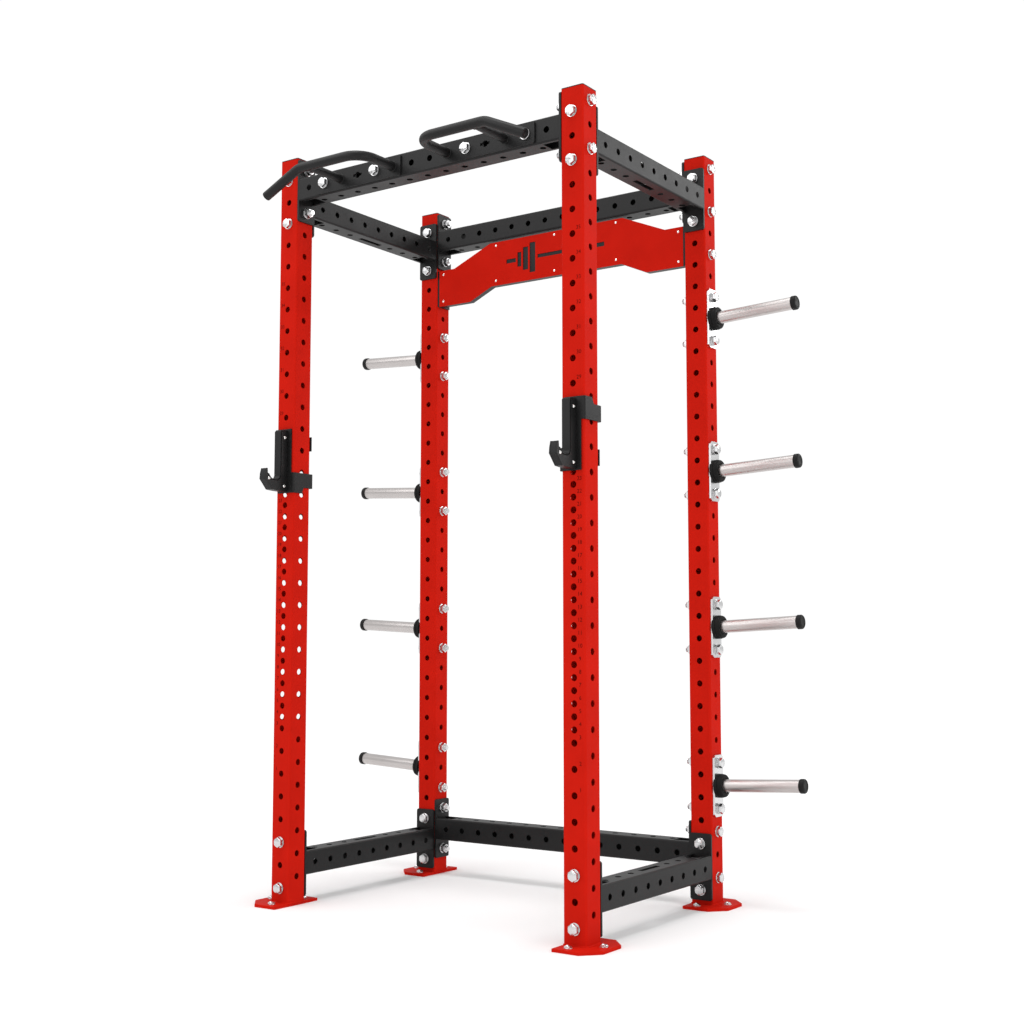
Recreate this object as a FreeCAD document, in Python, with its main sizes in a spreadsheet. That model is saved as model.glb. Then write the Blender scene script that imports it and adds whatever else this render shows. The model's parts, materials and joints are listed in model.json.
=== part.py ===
# Power cage: four punched uprights on floor plates, seven bolted cross-members, two pull-up
# grips, a name panel, eight plate pegs and two twist-lock J-cups.
# Millimetres, +Z up.  X runs left to right, the lifter walks in from -Y.
# The origin is on the floor, at the centre of the whole cage's outline.
import FreeCAD, Part
import math
import os
import Sketcher

doc = FreeCAD.newDocument("power_cage")
sheet = doc.addObject("Spreadsheet::Sheet", "dims")
V = FreeCAD.Vector
Z_AXIS = V(0, 0, 1)
SIDES = {"left": -1, "right": 1}
ENDS = {"front": -1, "rear": 1}

# ---------------------------------------------------------------- driving dimensions
driving = {
    "pitch": 76.2,            # hole pitch of every punched tube
    "hole_size": 21.0,        # clearance hole for an M20 bolt
    "tube_size": 80.0,
    "tube_wall": 3.0,
    "tube_corner": 6.0,
    "cage_width": 1178.0,     # upright axis to upright axis
    "cage_depth": 793.0,
    "first_hole": 58.0,       # lowest front hole above the floor
    "hole_rows": 33.0,
    "finger_rows": 12.0,      # extra half-pitch holes in the front uprights
    "foot_thick": 10.0,
    "cap_thick": 3.0,
    "cap_plug": 12.0,         # how far a cap's plug reaches into its tube
    "cap_play": 1.0,
    "plate_tall": 220.0,      # end plates of the cross-members
    "plate_thick": 8.0,
    "plate_corner": 8.0,
    "window_wide": 52.0,      # hand access cut beside each end plate
    "window_long": 66.0,
    "slot_wide": 18.0,
    "slot_long": 116.0,
    "foot_inner": 40.0,       # floor plate outline, from the upright's axis
    "foot_outer": 102.0,
    "foot_half": 104.0,
    "foot_cut_in": 50.0,      # corner cuts of the floor plate, along X and along Y
    "foot_cut_along": 54.0,
    "anchor_reach": 75.0,
    "anchor_hole": 14.0,
    "anchor_flats": 19.0,     # M12 floor bolt
    "anchor_head": 8.0,
    "anchor_dia": 12.0,
    "anchor_washer_dia": 24.0,
    "anchor_washer_bore": 12.5,
    "anchor_washer_thick": 2.5,
    "bolt_dia": 20.0,
    "bolt_length": 120.0,
    "hex_flats": 30.0,
    "head_tall": 12.5,
    "nut_tall": 16.0,
    "washer_dia": 37.0,
    "washer_thick": 3.0,
    "peg_plate_tall": 206.0,
    "peg_plate_wide": 64.0,
    "peg_plate_corner": 9.0,
    "peg_dia": 43.0,
    "peg_reach": 322.0,
    "peg_tilt": 3.0,          # degrees above level, so that plates stay on
    "collar_dia": 80.0,
    "collar_thick": 25.0,
    "peg_cap_dia": 48.0,
    "peg_cap_thick": 18.0,
    "peg_cap_round": 6.0,
    "collar_bevel": 6.0,
    "collar_play": 0.2,
    "peg_root": 5.0,          # run of a tilted rod behind its plate's face, trimmed off
    "grip_dia": 32.0,
    "grip_wall": 3.0,
    "grip_forward": 168.5,    # beam face to grip centre line
    "grip_bend": 68.0,
    "grip_elbow": 383.0,
    "grip_droop": 25.0,       # degrees
    "grip_tail": 165.0,
    "grip_leg_row": 1.5,      # holes from the cage's middle to the grip's leg, and to its brace
    "grip_brace_row": 4.5,
    "brace_dia": 28.0,
    "grip_plug_thick": 6.0,
    "grip_plug_inset": 2.0,
    "grip_plate_in": 80.0,
    "grip_plate_long": 375.0,
    "grip_plate_tall": 70.0,
    "grip_plate_thick": 6.0,
    "key_long": 38.0,         # slot across the grip plate's middle hole
    "key_wide": 9.0,
    "panel_half": 541.0,
    "panel_thick": 3.0,
    "panel_back": 5.0,        # the panel stands back from the rear uprights' front faces
    "panel_high": 181.0,      # heights of its outline above its bolt row
    "panel_shoulder": 108.0,
    "panel_arch": 12.0,
    "panel_low": -34.0,
    "panel_peak": 295.0,      # half-widths where its top and bottom edges turn
    "panel_slope_end": 468.0,
    "panel_arch_half": 289.0,
    "panel_skirt_half": 392.0,
    "bracket_rear": 32.0,
    "mark_high": 98.0,        # middle of the cut-out barbell above the bolt row
    "screw_round": 6.0,       # dome radius of the panel's screws, and how far it stands in
    "screw_sink": 4.0,
    "tray_deep": 25.0,
    "tray_rim": 3.3,
    "cup_gap": 0.5,           # running gap of the J-cup at its upright's front and sides
    "cup_play": 5.8,          # and behind it, which lets the hook tip as it goes on
    "cup_sheet": 5.0,
    "cup_half": 111.0,
    "cup_core": 20.0,
    "cup_cheek": 4.0,
    "cup_pin_dia": 20.0,
    "cup_pin_long": 62.0,
    "cup_band_low": 41.0,     # lower and upper edges of the band that goes round the upright
    "cup_band_high": 91.0,
    "cup_ear_front": 36.0,    # where the ear's top edge slopes down to the band's, from the front face
    "cup_ear_rear": 46.0,
    "cup_inset": 9.5,         # the back plate stops this far short of the upright's far edge
    "cup_tongue": 2.0,        # and the hooks this far
    "cup_liner": 3.0,         # thickness of the wear strip along the hook's post and seat
    "cup_groove": 3.0,        # gap left between the strip's edge and each cheek
    "cup_screw_round": 6.0,
    "cup_screw_sink": 2.5,
}
row = 1
for alias, number in driving.items():
    sheet.set("A%d" % row, alias)
    sheet.set("B%d" % row, str(number))
    sheet.setAlias("B%d" % row, alias)
    row += 1
doc.recompute()


def dim(name):
    return float(sheet.get(name))


PITCH = dim("pitch")
HALF = dim("tube_size") / 2
TOP_ROW = 1.5                 # rows are counted down from the tube's top, in pitches
SIDE_ROW = 2.0
LOW_TOP_ROW = 31.5
LOW_SIDE_ROW = 32.0
PANEL_ROW = 4.5
CUP_ROW = 14
GRIP_BOLT_HOLES = (2.5, 5.5)  # holes of the front beam, counted from its middle in pitches
GRIP_KEY_HOLE = 3.5
PEG_ROWS = (7.5, 14.5, 21.5, 28.5)
HALF_WIDTH = dim("cage_width") / 2
HALF_DEPTH = dim("cage_depth") / 2


def level(rows_down):
    """Height above the floor of a point so many pitches below the top of an upright."""
    return dim("first_hole") + (dim("hole_rows") - rows_down) * PITCH


FRONT_REACH = HALF_DEPTH + HALF + dim("grip_forward") + dim("grip_dia") / 2
REAR_REACH = HALF_DEPTH + dim("foot_half")
CAGE_Y = (FRONT_REACH - REAR_REACH) / 2      # the cage's centre, seen from the outline's centre
FRONT_Y = CAGE_Y - HALF_DEPTH                # front upright axes
REAR_Y = CAGE_Y + HALF_DEPTH


# ---------------------------------------------------------------- sketch and feature helpers
def bound(text):
    """Spreadsheet aliases in an expression, written for another object."""
    for alias in sorted(driving, key=len, reverse=True):
        text = text.replace("#" + alias, "dims." + alias)
    return text


def new_body(label):
    body = doc.addObject("PartDesign::Body", label)
    body.Label = label
    return body


def origin_part(body, role):
    for item in body.Origin.OriginFeatures:
        if item.Role == role:
            return item
    raise ValueError(role)


def new_sketch(body, role, lift=0.0):
    """A sketch on one of the body's own origin planes, lifted along that plane's normal."""
    sketch = body.newObject("Sketcher::SketchObject", "Sketch")
    sketch.AttachmentSupport = [(origin_part(body, role), "")]
    sketch.MapMode = "FlatFace"
    sketch.AttachmentOffset = FreeCAD.Placement(V(0, 0, lift), FreeCAD.Rotation())
    return sketch


def pin_point(sketch, geometry, place, index, text):
    """Hold one coordinate of a point at an expression of the sheet."""
    kind = "DistanceX" if index == 0 else "DistanceY"
    number = amount(text)
    made = sketch.addConstraint(Sketcher.Constraint(kind, -1, 1, geometry, place, number))
    sketch.setExpression("Constraints[%d]" % made, bound(text))


calculator = doc.addObject("App::FeaturePython", "calculator")
calculator.addProperty("App::PropertyFloat", "number")
worked_out = {}


def amount(text):
    """The present value of an expression of the sheet."""
    if text not in worked_out:
        calculator.setExpression("number", bound(text))
        calculator.recompute()
        worked_out[text] = calculator.number
    return worked_out[text]


def add_outline(sketch, corners):
    """A closed polygon whose corners are pairs of expressions."""
    points = [V(amount(x), amount(y), 0) for x, y in corners]
    first = sketch.GeometryCount
    count = len(points)
    for i in range(count):
        sketch.addGeometry(Part.LineSegment(points[i], points[(i + 1) % count]), False)
    for i in range(count):
        sketch.addConstraint(Sketcher.Constraint("Coincident", first + i, 2, first + (i + 1) % count, 1))
    for i, corner in enumerate(corners):
        pin_point(sketch, first + i, 1, 0, corner[0])
        pin_point(sketch, first + i, 1, 1, corner[1])


def add_circle(sketch, centre, diameter):
    place = V(amount(centre[0]), amount(centre[1]), 0)
    made = sketch.addGeometry(Part.Circle(place, Z_AXIS, amount(diameter) / 2), False)
    pin_point(sketch, made, 3, 0, centre[0])
    pin_point(sketch, made, 3, 1, centre[1])
    size = sketch.addConstraint(Sketcher.Constraint("Diameter", made, amount(diameter)))
    sketch.setExpression("Constraints[%d]" % size, bound(diameter))


def rectangle(width, height, x="0", y="0"):
    """Corner expressions of a rectangle about a centre."""
    return [("%s - (%s) / 2" % (x, width), "%s - (%s) / 2" % (y, height)),
            ("%s + (%s) / 2" % (x, width), "%s - (%s) / 2" % (y, height)),
            ("%s + (%s) / 2" % (x, width), "%s + (%s) / 2" % (y, height)),
            ("%s - (%s) / 2" % (x, width), "%s + (%s) / 2" % (y, height))]


def pad(body, sketch, length, midplane=False, reverse=False):
    feature = body.newObject("PartDesign::Pad", "Pad")
    feature.Profile = sketch
    feature.setExpression("Length", bound(length))
    feature.SideType = "Symmetric" if midplane else "One side"
    feature.Reversed = reverse
    doc.recompute()
    return feature


def cut(body, sketch, length):
    """A pocket cut equally to both sides of its sketch; it must take material away."""
    before = body.Shape.Volume
    feature = body.newObject("PartDesign::Pocket", "Pocket")
    feature.Profile = sketch
    feature.setExpression("Length", bound(length))
    feature.SideType = "Symmetric"
    doc.recompute()
    if not body.Shape.Volume < before:
        raise RuntimeError("a pocket of %s cut nothing" % body.Label)
    return feature


def repeat(body, feature, role, length, count):
    """Repeat a feature along one of the body's axes, over a length, so many times."""
    pattern = body.newObject("PartDesign::LinearPattern", "LinearPattern")
    pattern.Originals = [feature]
    pattern.Direction = (origin_part(body, role), [""])
    pattern.setExpression("Length", bound(length))
    pattern.setExpression("Occurrences", bound(count))
    body.Tip = pattern
    doc.recompute()
    return pattern


def round_long_edges(body, feature, radius):
    """Round the edges of a pad that run along the body's Z axis."""
    names = []
    for number, edge in enumerate(feature.Shape.Edges, 1):
        ends = edge.Vertexes
        if len(ends) == 2 and abs(ends[0].Z - ends[1].Z) > edge.Length - 0.001:
            names.append("Edge%d" % number)
    fillet = body.newObject("PartDesign::Fillet", "Fillet")
    fillet.Base = (feature, names)
    fillet.setExpression("Radius", bound(radius))
    doc.recompute()
    return fillet


def punch(body, role, first, count, pitch="#pitch"):
    """A row of bolt holes through both walls of a tube, along the body's Z axis."""
    sketch = new_sketch(body, role)
    add_circle(sketch, ("0", first), "#hole_size")
    hole = cut(body, sketch, "#tube_size * 2")
    repeat(body, hole, "Z_Axis", "(%s - 1) * %s" % (count, pitch), count)


def place(thing, x, y, z, rotation=None):
    thing.Placement = FreeCAD.Placement(V(x, y, z), rotation or FreeCAD.Rotation())
    return thing


def group(label, shape, placements):
    """One node that holds several separate, identical solids."""
    copies = []
    for placement in placements:
        copy = shape.copy()
        copy.Placement = placement.multiply(shape.Placement)
        copies.append(copy)
    feature = doc.addObject("Part::Feature", label)
    feature.Label = label
    feature.Shape = Part.makeCompound(copies)
    return feature


nodes = []


def keep(thing):
    nodes.append(thing)
    return thing


# ---------------------------------------------------------------- punched tubes
def square_tube(label, length, midplane):
    """A rolled square tube along the body's Z axis."""
    body = new_body(label)
    outer = new_sketch(body, "XY_Plane")
    add_outline(outer, rectangle("#tube_size", "#tube_size"))
    solid = pad(body, outer, length, midplane)
    round_long_edges(body, solid, "#tube_corner")
    inner = new_sketch(body, "XY_Plane")
    clear = "#tube_size - 2 * #tube_wall"
    add_outline(inner, rectangle(clear, clear))
    cut(body, inner, "(%s) * 3" % length)
    return body


def upright(side, end):
    """Holes run to and fro at each pitch, and sideways half a pitch higher."""
    label = "upright_%s_%s" % (end, side)
    length = "#first_hole + #hole_rows * #pitch - #foot_thick"
    body = square_tube(label, length, False)
    first = "#first_hole - #foot_thick"
    punch(body, "XZ_Plane", first, "#hole_rows")
    punch(body, "YZ_Plane", first + " + #pitch / 2", "#hole_rows")
    if end == "front":
        punch(body, "XZ_Plane", first + " + 7.5 * #pitch", "#finger_rows")
    y = CAGE_Y + ENDS[end] * HALF_DEPTH
    return place(body, SIDES[side] * HALF_WIDTH, y, dim("foot_thick"))


def hand_windows(body, length):
    """Cuts beside both end plates, through the top and bottom walls."""
    for sign in ("", "-"):
        sketch = new_sketch(body, "XZ_Plane")
        middle = "%s((%s) / 2 - #window_long / 2)" % (sign, length)
        add_outline(sketch, rectangle("#window_wide", "#window_long + 1", "0", middle))
        cut(body, sketch, "#tube_size * 2")


CROSSWISE = FreeCAD.Rotation(V(1, 1, 1), 120)     # body Z to +X, body Y to +Z
LENGTHWISE = FreeCAD.Rotation(V(0, 1, 1), 180)    # body Z to +Y, body Y to +Z


def cross_beam(label, y, rows_down):
    """A beam from a left upright to a right one."""
    length = "#cage_width - #tube_size - 2 * #plate_thick"
    body = square_tube(label, length, True)
    punch(body, "YZ_Plane", "-6.5 * #pitch", "14")
    punch(body, "XZ_Plane", "-6 * #pitch", "13")
    hand_windows(body, length)
    return place(body, 0, y, level(rows_down), CROSSWISE)


def side_beam(label, side, rows_down):
    """A beam from a front upright to a rear one, slotted at its middle."""
    length = "#cage_depth - #tube_size - 2 * #plate_thick"
    body = square_tube(label, length, True)
    punch(body, "YZ_Plane", "-4 * #pitch", "9")
    punch(body, "XZ_Plane", "-3.5 * #pitch", "3")
    punch(body, "XZ_Plane", "1.5 * #pitch", "3")
    slot = new_sketch(body, "XZ_Plane")
    add_outline(slot, rectangle("#slot_wide", "#slot_long"))
    cut(body, slot, "#tube_size * 2")
    hand_windows(body, length)
    return place(body, SIDES[side] * HALF_WIDTH, CAGE_Y, level(rows_down), LENGTHWISE)


def end_plate():
    """A plate welded on a beam's end, with one bolt above the beam and one below it."""
    body = new_body("end_plate_blank")
    sketch = new_sketch(body, "XY_Plane")
    add_outline(sketch, rectangle("#tube_size", "#plate_tall"))
    solid = pad(body, sketch, "#plate_thick")
    round_long_edges(body, solid, "#plate_corner")
    holes = new_sketch(body, "XY_Plane")
    add_circle(holes, ("0", "#pitch"), "#hole_size")
    add_circle(holes, ("0", "-#pitch"), "#hole_size")
    cut(body, holes, "#plate_thick * 3")
    return body


def beam_end_plates(label, blank, beam, span):
    """Both end plates of one beam, each with its outer face on its upright."""
    placements = []
    for offset in (-span / 2, span / 2 - dim("plate_thick")):
        placements.append(beam.Placement.multiply(FreeCAD.Placement(V(0, 0, offset), FreeCAD.Rotation())))
    return group(label + "_end_plates", blank.Shape, placements)


# ---------------------------------------------------------------- feet and caps
def floor_plate(side, end):
    """A six-sided foot, flush with the upright's inner face and longer to the outside."""
    body = new_body("floor_plate_%s_%s" % (end, side))
    sketch = new_sketch(body, "XY_Plane")
    add_outline(sketch, [("-#foot_inner", "-#foot_half"),
                         ("#foot_outer - #foot_cut_in", "-#foot_half"),
                         ("#foot_outer", "-#foot_half + #foot_cut_along"),
                         ("#foot_outer", "#foot_half - #foot_cut_along"),
                         ("#foot_outer - #foot_cut_in", "#foot_half"),
                         ("-#foot_inner", "#foot_half")])
    pad(body, sketch, "#foot_thick")
    holes = new_sketch(body, "XY_Plane")
    for x, y in (("0", "-#anchor_reach"), ("0", "#anchor_reach"), ("#anchor_reach", "0")):
        add_circle(holes, (x, y), "#anchor_hole")
    cut(body, holes, "#foot_thick * 3")
    turn = FreeCAD.Rotation(Z_AXIS, 0 if side == "right" else 180)
    return place(body, SIDES[side] * HALF_WIDTH, CAGE_Y + ENDS[end] * HALF_DEPTH, 0, turn)


def upright_cap(side, end):
    """A push-in lid: a thin square top over a plug inside the tube."""
    body = new_body("upright_cap_%s_%s" % (end, side))
    lid = new_sketch(body, "XY_Plane")
    add_outline(lid, rectangle("#tube_size", "#tube_size"))
    solid = pad(body, lid, "#cap_thick")
    round_long_edges(body, solid, "#tube_corner")
    plug = new_sketch(body, "XY_Plane")
    inner = "#tube_size - 2 * #tube_wall - #cap_play"
    add_outline(plug, rectangle(inner, inner))
    pad(body, plug, "#cap_plug", reverse=True)
    return place(body, SIDES[side] * HALF_WIDTH, CAGE_Y + ENDS[end] * HALF_DEPTH, level(0))


# ---------------------------------------------------------------- fasteners
def hexagon(flats):
    """Corner expressions of a hexagon, by its size across flats."""
    corners = []
    for i in range(6):
        turn = 30 + 60 * i
        corners.append(("(%s) / 2 / cos(30) * cos(%d)" % (flats, turn),
                        "(%s) / 2 / cos(30) * sin(%d)" % (flats, turn)))
    return corners


def hex_bolt(label, flats, head, diameter, length):
    """The head stands on z = 0 and the shank runs down from it."""
    body = new_body(label)
    top = new_sketch(body, "XY_Plane")
    add_outline(top, hexagon(flats))
    pad(body, top, head)
    shank = new_sketch(body, "XY_Plane")
    add_circle(shank, ("0", "0"), diameter)
    pad(body, shank, length, reverse=True)
    return body


def washer(label, outside, inside, thick):
    body = new_body(label)
    sketch = new_sketch(body, "XY_Plane")
    add_circle(sketch, ("0", "0"), outside)
    add_circle(sketch, ("0", "0"), inside)
    pad(body, sketch, thick)
    return body


def hex_nut(label):
    body = new_body(label)
    sketch = new_sketch(body, "XY_Plane")
    add_outline(sketch, hexagon("#hex_flats"))
    add_circle(sketch, ("0", "0"), "#bolt_dia")
    pad(body, sketch, "#nut_tall")
    return body


def facing(direction):
    """The turn that points a fastener's head along a direction."""
    return FreeCAD.Rotation(Z_AXIS, V(*direction))


class Joint:
    """Where one M20 bolt goes: the face under its head washer, its direction and its grip."""

    def __init__(self, point, direction, grip):
        self.point = V(*point)
        self.direction = V(*direction)
        self.grip = grip

    def at(self, depth):
        """A placement so far in from the face, facing out."""
        return FreeCAD.Placement(self.point - self.direction * depth, facing(self.direction))


def frame_joints():
    """Bolts of the cross-members, and of the panel's brackets."""
    grip = dim("tube_size") + dim("plate_thick")
    joints = []
    for sign in SIDES.values():
        face = sign * (HALF_WIDTH + HALF)
        rows = [(FRONT_Y, TOP_ROW - 1), (FRONT_Y, TOP_ROW + 1), (REAR_Y, TOP_ROW - 1), (REAR_Y, TOP_ROW + 1)]
        rows += [(REAR_Y, LOW_TOP_ROW - 1), (REAR_Y, LOW_TOP_ROW + 1), (REAR_Y, PANEL_ROW)]
        for y, rows_down in rows:
            joints.append(Joint((face, y, level(rows_down)), (sign, 0, 0), grip))
        for middle in (SIDE_ROW, LOW_SIDE_ROW):
            for rows_down in (middle - 1, middle + 1):
                front = (sign * HALF_WIDTH, FRONT_Y - HALF, level(rows_down))
                joints.append(Joint(front, (0, -1, 0), grip))
                rear = (sign * HALF_WIDTH, REAR_Y - HALF - dim("plate_thick"), level(rows_down))
                joints.append(Joint(rear, (0, -1, 0), grip))
    return joints


def peg_joints():
    grip = dim("tube_size") + dim("plate_thick")
    joints = []
    for sign in SIDES.values():
        face = sign * (HALF_WIDTH + HALF + dim("plate_thick"))
        for middle in PEG_ROWS:
            for rows_down in (middle - 1, middle + 1):
                joints.append(Joint((face, REAR_Y, level(rows_down)), (sign, 0, 0), grip))
    return joints


def grip_joints():
    grip = dim("tube_size") + dim("grip_plate_thick")
    face = FRONT_Y - HALF - dim("grip_plate_thick")
    joints = []
    for sign in SIDES.values():
        for holes in GRIP_BOLT_HOLES:
            joints.append(Joint((sign * holes * PITCH, face, level(TOP_ROW)), (0, -1, 0), grip))
    return joints


def fasteners():
    """Heads, washers and nuts of every bolted joint."""
    bolt = hex_bolt("bolt_blank", "#hex_flats", "#head_tall", "#bolt_dia", "#bolt_length")
    ring = washer("washer_blank", "#washer_dia", "#bolt_dia", "#washer_thick")
    nut = hex_nut("nut_blank")
    thick = dim("washer_thick")
    joints = {"frame_bolts": frame_joints(), "peg_bolts": peg_joints(), "grip_bolts": grip_joints()}
    every = []
    for label, places in joints.items():
        keep(group(label, bolt.Shape, [j.at(-thick) for j in places]))
        every += places
    washers = [j.at(-thick).multiply(FreeCAD.Placement(V(0, 0, -thick), FreeCAD.Rotation())) for j in every]
    washers += [j.at(j.grip + thick) for j in every]
    keep(group("washers", ring.Shape, washers))
    keep(group("nuts", nut.Shape, [j.at(j.grip + thick + dim("nut_tall")) for j in every]))


def anchors():
    """Three floor bolts in each foot; their shanks stop level with the foot's underside."""
    bolt = hex_bolt("anchor_blank", "#anchor_flats", "#anchor_head", "#anchor_dia", "#foot_thick + 2")
    ring = washer("anchor_washer_blank", "#anchor_washer_dia", "#anchor_washer_bore", "#anchor_washer_thick")
    rise = V(0, 0, dim("anchor_washer_thick"))
    tops = []
    for sign in SIDES.values():
        for y in (FRONT_Y, REAR_Y):
            reach = dim("anchor_reach")
            for dx, dy in ((0, -reach), (0, reach), (sign * reach, 0)):
                tops.append(V(sign * HALF_WIDTH + dx, y + dy, dim("foot_thick")))
    flat = FreeCAD.Rotation()
    keep(group("anchor_washers", ring.Shape, [FreeCAD.Placement(p, flat) for p in tops]))
    keep(group("anchor_bolts", bolt.Shape, [FreeCAD.Placement(p + rise, flat) for p in tops]))


# ---------------------------------------------------------------- plate pegs
def peg_places():
    """The middle of each peg plate's back face, turned outwards."""
    places = []
    for side, sign in SIDES.items():
        turn = FreeCAD.Rotation(Z_AXIS, 0 if side == "right" else 180)
        for rows_down in PEG_ROWS:
            places.append(FreeCAD.Placement(V(sign * (HALF_WIDTH + HALF), REAR_Y, level(rows_down)), turn))
    return places


def tilted_cylinder(label, diameter, start, length):
    """A cylinder on the peg's own axis, which rises from the plate's front face."""
    rod = doc.addObject("Part::Cylinder", label)
    rod.setExpression("Radius", bound("(%s) / 2" % diameter))
    rod.setExpression("Height", bound(length))
    rise = FreeCAD.Rotation(V(0, 1, 0), 90 - dim("peg_tilt"))
    root = V(dim("plate_thick"), 0, 0) + rise.multVec(Z_AXIS) * start
    rod.Placement = FreeCAD.Placement(root, rise)
    return rod


def subtract(label, base, tool):
    result = doc.addObject("Part::Cut", label)
    result.Base = base
    result.Tool = tool
    doc.recompute()
    return result


def behind_plate(label):
    """The space behind a peg plate's front face."""
    reach = 2 * dim("collar_dia")
    box = doc.addObject("Part::Box", label)
    box.Length = box.Width = box.Height = reach
    box.Placement.Base = V(dim("plate_thick") - reach, -reach / 2, -reach / 2)
    return box


def pegs():
    """Plates, bumper collars, sleeves and end caps of the eight plate pegs."""
    plate = new_body("peg_plate_blank")
    sketch = new_sketch(plate, "YZ_Plane")
    wide, tall, corner = "#peg_plate_wide / 2", "#peg_plate_tall / 2", "#peg_plate_corner"
    add_outline(sketch, [("-(%s - %s)" % (wide, corner), "-" + tall), ("%s - %s" % (wide, corner), "-" + tall),
                         (wide, "-(%s - %s)" % (tall, corner)), (wide, "%s - %s" % (tall, corner)),
                         ("%s - %s" % (wide, corner), tall), ("-(%s - %s)" % (wide, corner), tall),
                         ("-" + wide, "%s - %s" % (tall, corner)), ("-" + wide, "-(%s - %s)" % (tall, corner))])
    pad(plate, sketch, "#plate_thick")
    holes = new_sketch(plate, "YZ_Plane")
    add_circle(holes, ("0", "#pitch"), "#hole_size")
    add_circle(holes, ("0", "-#pitch"), "#hole_size")
    cut(plate, holes, "#plate_thick * 3")
    keep(group("peg_plates", plate.Shape, peg_places()))

    run = dim("peg_reach") - dim("plate_thick")
    sleeve_end = run - dim("peg_cap_thick")
    root = dim("peg_root")
    sleeve = tilted_cylinder("sleeve_rod", "#peg_dia", -root, "%f + #peg_root" % sleeve_end)
    sleeve = subtract("peg_sleeve_blank", sleeve, behind_plate("behind_sleeve"))
    keep(group("peg_sleeves", sleeve.Shape, peg_places()))

    disc = tilted_cylinder("collar_disc", "#collar_dia", -root, "#collar_thick + #peg_root")
    disc = subtract("collar_trimmed", disc, behind_plate("behind_collar"))
    core = tilted_cylinder("collar_bore", "#peg_dia + #collar_play", -dim("collar_thick"), "3 * #collar_thick")
    collar = subtract("peg_collar_bored", disc, core)
    rim = outer_rim(collar.Shape, dim("collar_dia") / 2)
    bevel = doc.addObject("Part::Chamfer", "peg_collar_blank")
    bevel.Base = collar
    bevel.Edges = [(rim, dim("collar_bevel"), dim("collar_bevel"))]
    doc.recompute()
    keep(group("peg_collars", bevel.Shape, peg_places()))

    cap = tilted_cylinder("cap_disc", "#peg_cap_dia", sleeve_end, "#peg_cap_thick")
    doc.recompute()
    face = doc.addObject("Part::Fillet", "peg_cap_blank")
    face.Base = cap
    rim = outer_rim(cap.Shape, dim("peg_cap_dia") / 2)
    face.Edges = [(rim, dim("peg_cap_round"), dim("peg_cap_round"))]
    doc.recompute()
    keep(group("peg_end_caps", face.Shape, peg_places()))


def outer_rim(shape, radius):
    """The number of the circular edge of that radius that is furthest out along X."""
    rims = {}
    for number, edge in enumerate(shape.Edges, 1):
        if isinstance(edge.Curve, Part.Circle) and abs(edge.Curve.Radius - radius) < 0.01:
            rims[edge.Curve.Center.x] = number
    return rims[max(rims)]


# ---------------------------------------------------------------- pull-up grips
def grip_corners(sign):
    """The grip's centre line: out of the plate, along the beam, then outwards and down."""
    face = FRONT_Y - HALF - dim("grip_plate_thick")
    out = FRONT_Y - HALF - dim("grip_forward")
    high = level(TOP_ROW)
    droop = math.radians(dim("grip_droop"))
    elbow = dim("grip_elbow")
    tail = dim("grip_tail")
    leg = sign * dim("grip_leg_row") * PITCH
    return [V(leg, face, high),
            V(leg, out, high),
            V(sign * elbow, out, high),
            V(sign * (elbow + tail * math.cos(droop)), out, high - tail * math.sin(droop))]


def rounded_path(corners, radii):
    """Straight runs joined by tangent arcs."""
    edges = []
    here = corners[0]
    for i, radius in enumerate(radii, 1):
        before = (corners[i - 1] - corners[i]).normalize()
        after = (corners[i + 1] - corners[i]).normalize()
        half = before.getAngle(after) / 2
        run = radius / math.tan(half)
        start = corners[i] + before * run
        finish = corners[i] + after * run
        bisector = (before + after).normalize()
        centre = corners[i] + bisector * (radius / math.sin(half))
        middle = centre - bisector * radius
        edges.append(Part.LineSegment(here, start).toShape())
        edges.append(Part.Arc(start, middle, finish).toShape())
        here = finish
    edges.append(Part.LineSegment(here, corners[-1]).toShape())
    return Part.Wire(edges)


def swept_bar(path, radius):
    """A round bar along a path."""
    start = path.Edges[0]
    circle = Part.Circle(start.Vertexes[0].Point, start.tangentAt(start.FirstParameter), radius)
    return path.makePipeShell([Part.Wire(circle.toShape())], True, True)


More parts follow.
